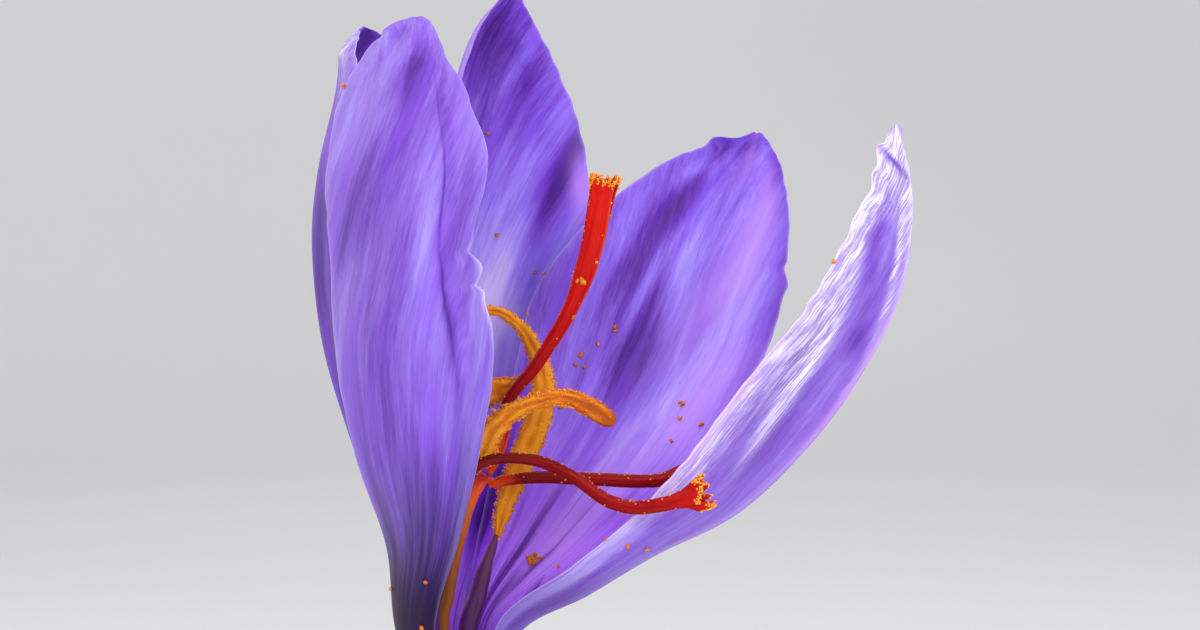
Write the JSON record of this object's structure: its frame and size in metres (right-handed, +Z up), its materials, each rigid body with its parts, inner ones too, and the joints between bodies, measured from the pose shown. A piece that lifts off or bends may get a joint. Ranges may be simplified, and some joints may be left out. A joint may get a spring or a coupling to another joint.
{
  "type": "saffron crocus with bulb",
  "caption": "Saffron crocus in open flower: violet tepals round red stigmas and yellow anthers, on a slender tube with young leaves, standing on its fibrous corm.",
  "frame": {"origin": "centre of the flat scar under the corm, on the surface that the plant stands on", "axes": "+Z up along the shoot; the open side of the flower faces -Y and the outspread tepals lean to +X"},
  "size_m": [0.0494, 0.0619, 0.1322],
  "materials": {
    "corm_coat": "dry netted fibres, matt brown",
    "sheath": "papery, cream white with fine ribs",
    "leaf": "satin green with a pale midline",
    "flower_tube": "soft satin, white flushed with lilac",
    "tepal": "silky violet with fine darker veins",
    "filament": "soft mauve",
    "anther": "powdery orange yellow pollen",
    "style": "soft amber orange",
    "stigma": "waxy deep red orange with yellow pollen at the ends"
  },
  "bodies": {
    "root": {"corm": "corm_coat", "sheath_outer": "sheath", "sheath_inner": "sheath", "leaf_1": "leaf", "leaf_2": "leaf", "leaf_3": "leaf", "leaf_4": "leaf", "leaf_5": "leaf", "perianth_tube": "flower_tube", "tepal_front_left": "tepal", "tepal_left": "tepal", "tepal_back": "tepal", "tepal_back_right": "tepal", "tepal_right": "tepal", "tepal_front": "tepal", "filament_1": "filament", "filament_2": "filament", "filament_3": "filament", "anther_1": "anther", "anther_2": "anther", "anther_3": "anther", "style": "style", "stigma_1": "stigma", "stigma_2": "stigma", "stigma_3": "stigma"}
  },
  "joints": []
}
